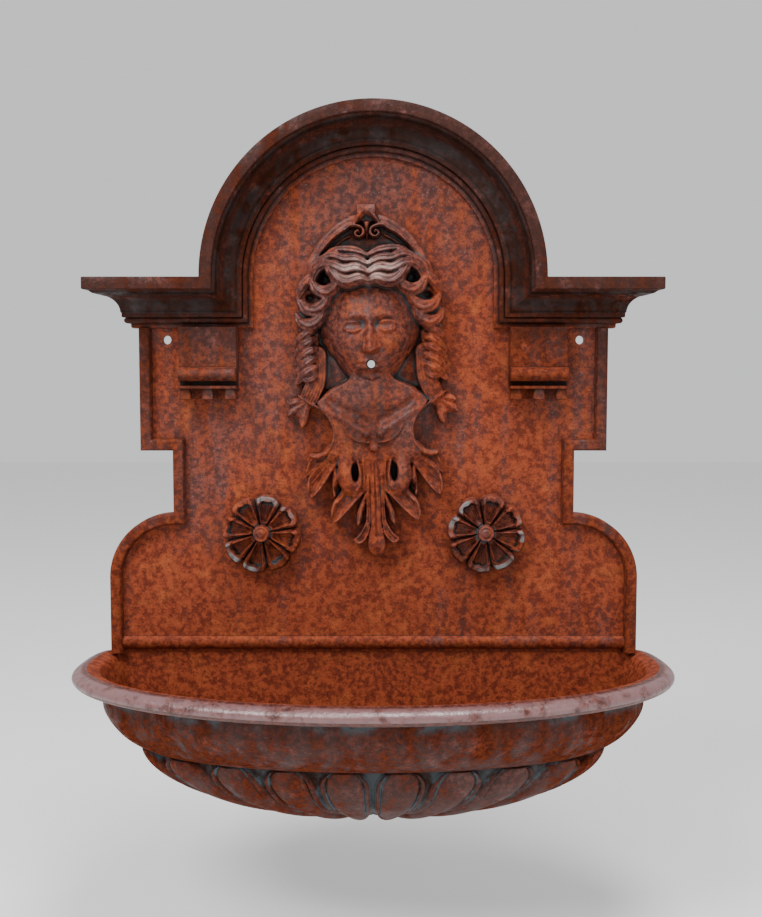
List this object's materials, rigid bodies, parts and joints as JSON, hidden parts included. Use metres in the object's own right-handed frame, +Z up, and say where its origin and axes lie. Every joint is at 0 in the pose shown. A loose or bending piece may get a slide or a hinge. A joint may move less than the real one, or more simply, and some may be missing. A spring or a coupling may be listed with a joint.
{
  "type": "wall fountain",
  "caption": "Cast-iron wall fountain: arched back plate with cornice, spouting mask with acanthus, rosettes and a half-oval gadrooned basin.",
  "frame": {"origin": "on the flat back of the plate, midway between the two fixing holes", "axes": "+Z up, -Y out of the wall towards the viewer, +X to the right seen from the front"},
  "size_m": [0.608, 0.228, 0.7252],
  "materials": {
    "plate_iron": "orange-brown rust with purple-brown scale and streaks",
    "mask_iron": "purple-brown satin patina, rust in the hollows",
    "rosette_iron": "brown rust, grey-blue chipped edges",
    "basin_iron": "satin purple-brown rim, dark rust below, orange rust inside"
  },
  "bodies": {
    "root": {"back_plate": "plate_iron", "mask": "mask_iron", "rosette_left": "rosette_iron", "rosette_right": "rosette_iron", "basin": "basin_iron"}
  },
  "joints": []
}
